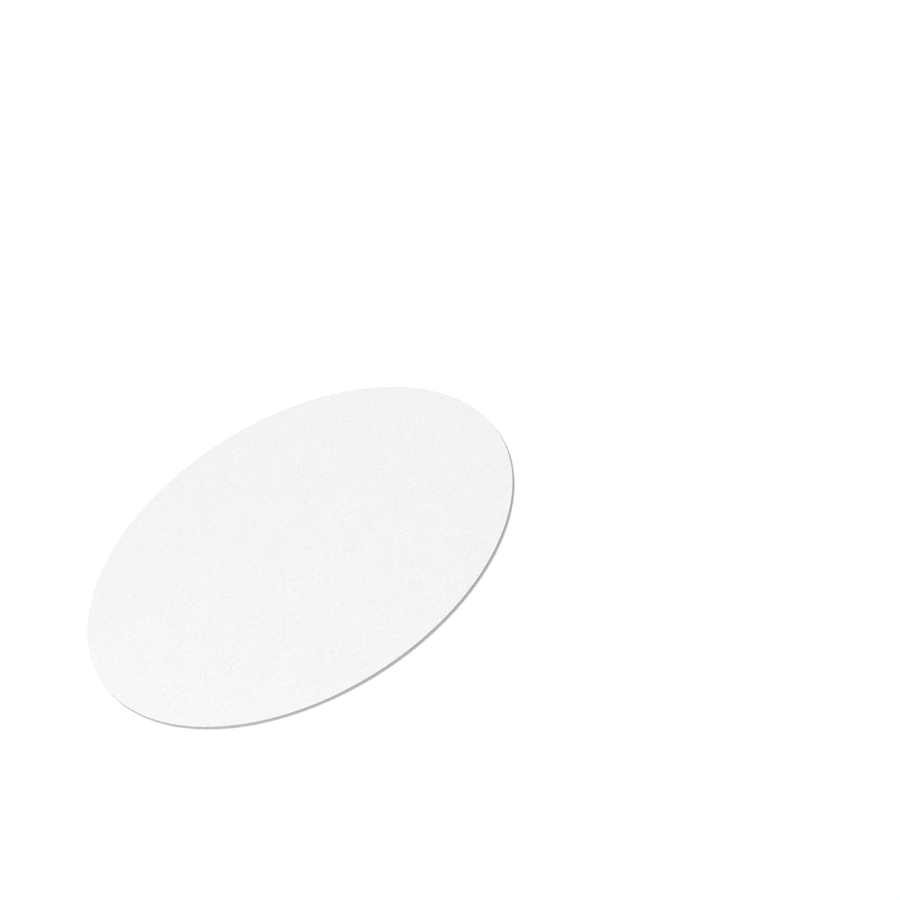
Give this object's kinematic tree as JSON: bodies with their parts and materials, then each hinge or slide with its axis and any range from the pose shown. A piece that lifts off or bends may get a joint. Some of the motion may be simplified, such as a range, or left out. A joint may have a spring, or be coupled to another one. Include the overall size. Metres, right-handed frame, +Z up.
{
  "type": "filter paper disc",
  "caption": "Flat round sheet of plain white filter paper with a die-cut edge, lying on its flat underside.",
  "frame": {"origin": "centre of the flat underside, on the surface that the disc lies on", "axes": "+Z up, square to the sheet and out of its upper face; the disc is round, so +X and +Y are any two square directions in its plane, and the grain of its visual finish is drawn out a little along Y"},
  "size_m": [0.09, 0.09, 0.0002],
  "materials": {
    "paper": "matte, softly fibrous, uncoated"
  },
  "bodies": {
    "root": {"filter_paper_disc": "paper"}
  },
  "joints": []
}
